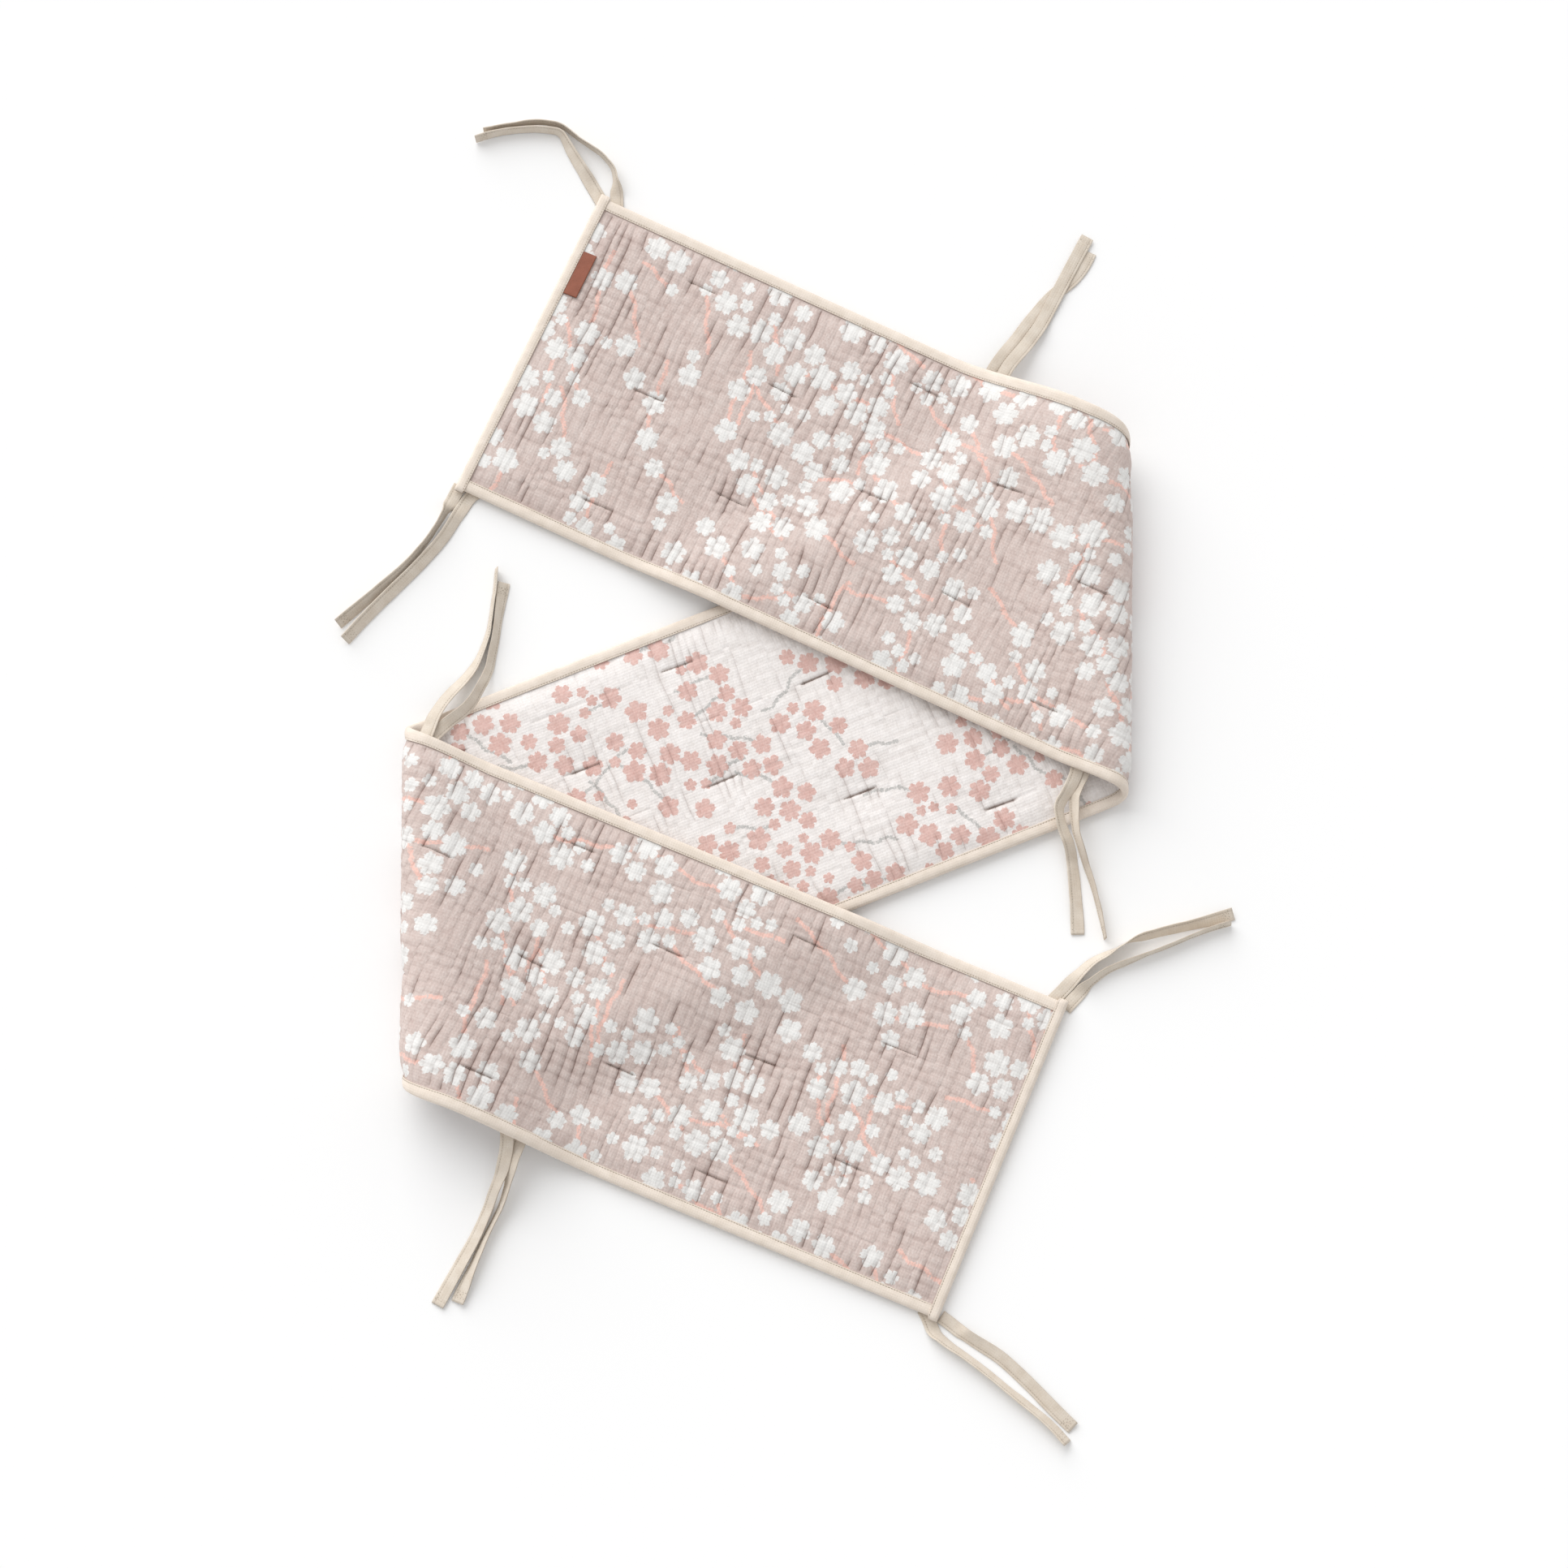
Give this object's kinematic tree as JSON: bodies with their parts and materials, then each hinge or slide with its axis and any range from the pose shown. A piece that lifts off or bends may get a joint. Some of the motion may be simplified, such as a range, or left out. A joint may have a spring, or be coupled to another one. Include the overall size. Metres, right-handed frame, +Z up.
{
  "type": "crib bumper",
  "caption": "Padded muslin strip that lines the inside of a crib, tufted and bound all round, with pairs of ties along its edges, lying folded in a Z",
  "frame": {"origin": "centre of the bounding box in plan, on the surface that the bumper rests on", "axes": "+Z up, +Y away from the viewer along the longest extent, +X to the viewer's right"},
  "size_m": [0.8, 1.1962, 0.0611],
  "materials": {
    "mauve_muslin": "crinkled muslin in heathered pale mauve, printed with small white blossoms and salmon twigs",
    "white_muslin": "crinkled off-white muslin printed with small pink blossoms and thin grey twigs",
    "binding_cotton": "plain woven cotton, folded and topstitched",
    "tie_cotton": "plain woven cotton, folded and topstitched",
    "label_leather": "smooth tan leather, bare, with cut edges"
  },
  "bodies": {
    "root": {"panel_front": "mauve_muslin", "panel_back": "white_muslin", "binding_edge_1": "binding_cotton", "binding_edge_2": "binding_cotton", "binding_end_A": "binding_cotton", "binding_end_C": "binding_cotton", "label": "label_leather", "tie_1a": "tie_cotton", "tie_1b": "tie_cotton", "tie_2a": "tie_cotton", "tie_2b": "tie_cotton", "tie_3a": "tie_cotton", "tie_3b": "tie_cotton", "tie_4a": "tie_cotton", "tie_4b": "tie_cotton", "tie_5a": "tie_cotton", "tie_5b": "tie_cotton", "tie_6a": "tie_cotton", "tie_6b": "tie_cotton", "tie_7a": "tie_cotton", "tie_7b": "tie_cotton", "tie_8a": "tie_cotton", "tie_8b": "tie_cotton"}
  },
  "joints": []
}
